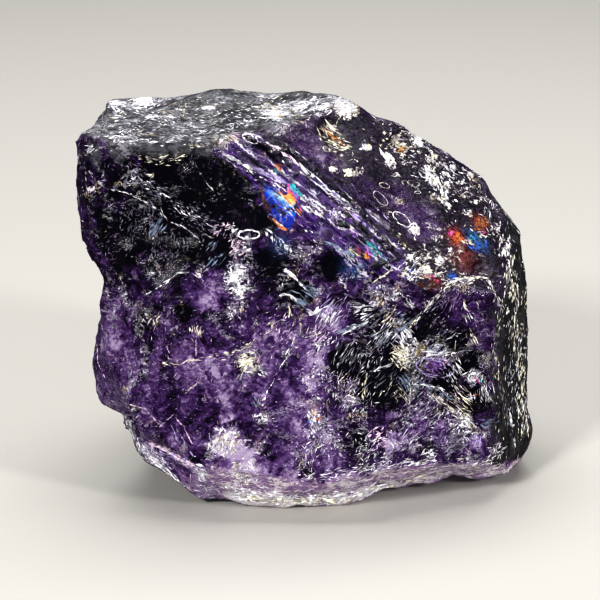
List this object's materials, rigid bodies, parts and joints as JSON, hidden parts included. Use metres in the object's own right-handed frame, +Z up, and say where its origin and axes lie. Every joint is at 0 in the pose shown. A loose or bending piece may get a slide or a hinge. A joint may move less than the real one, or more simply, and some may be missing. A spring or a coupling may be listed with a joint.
{
  "type": "rough amethyst",
  "caption": "Single broken chunk of deep violet quartz with a glassy fractured front, a frosted top, a pitted sloping skin and a flat fracture to lie on.",
  "frame": {"origin": "middle of the stone's bounding box, in the plane of the flat fracture it lies on", "axes": "+X to the right of the glassy front, +Y away from the front into the stone, +Z up"},
  "size_m": [0.0588, 0.041, 0.05],
  "materials": {
    "violet_quartz": "glassy fracture with frosted skin"
  },
  "bodies": {
    "root": {"amethyst": "violet_quartz"}
  },
  "joints": []
}
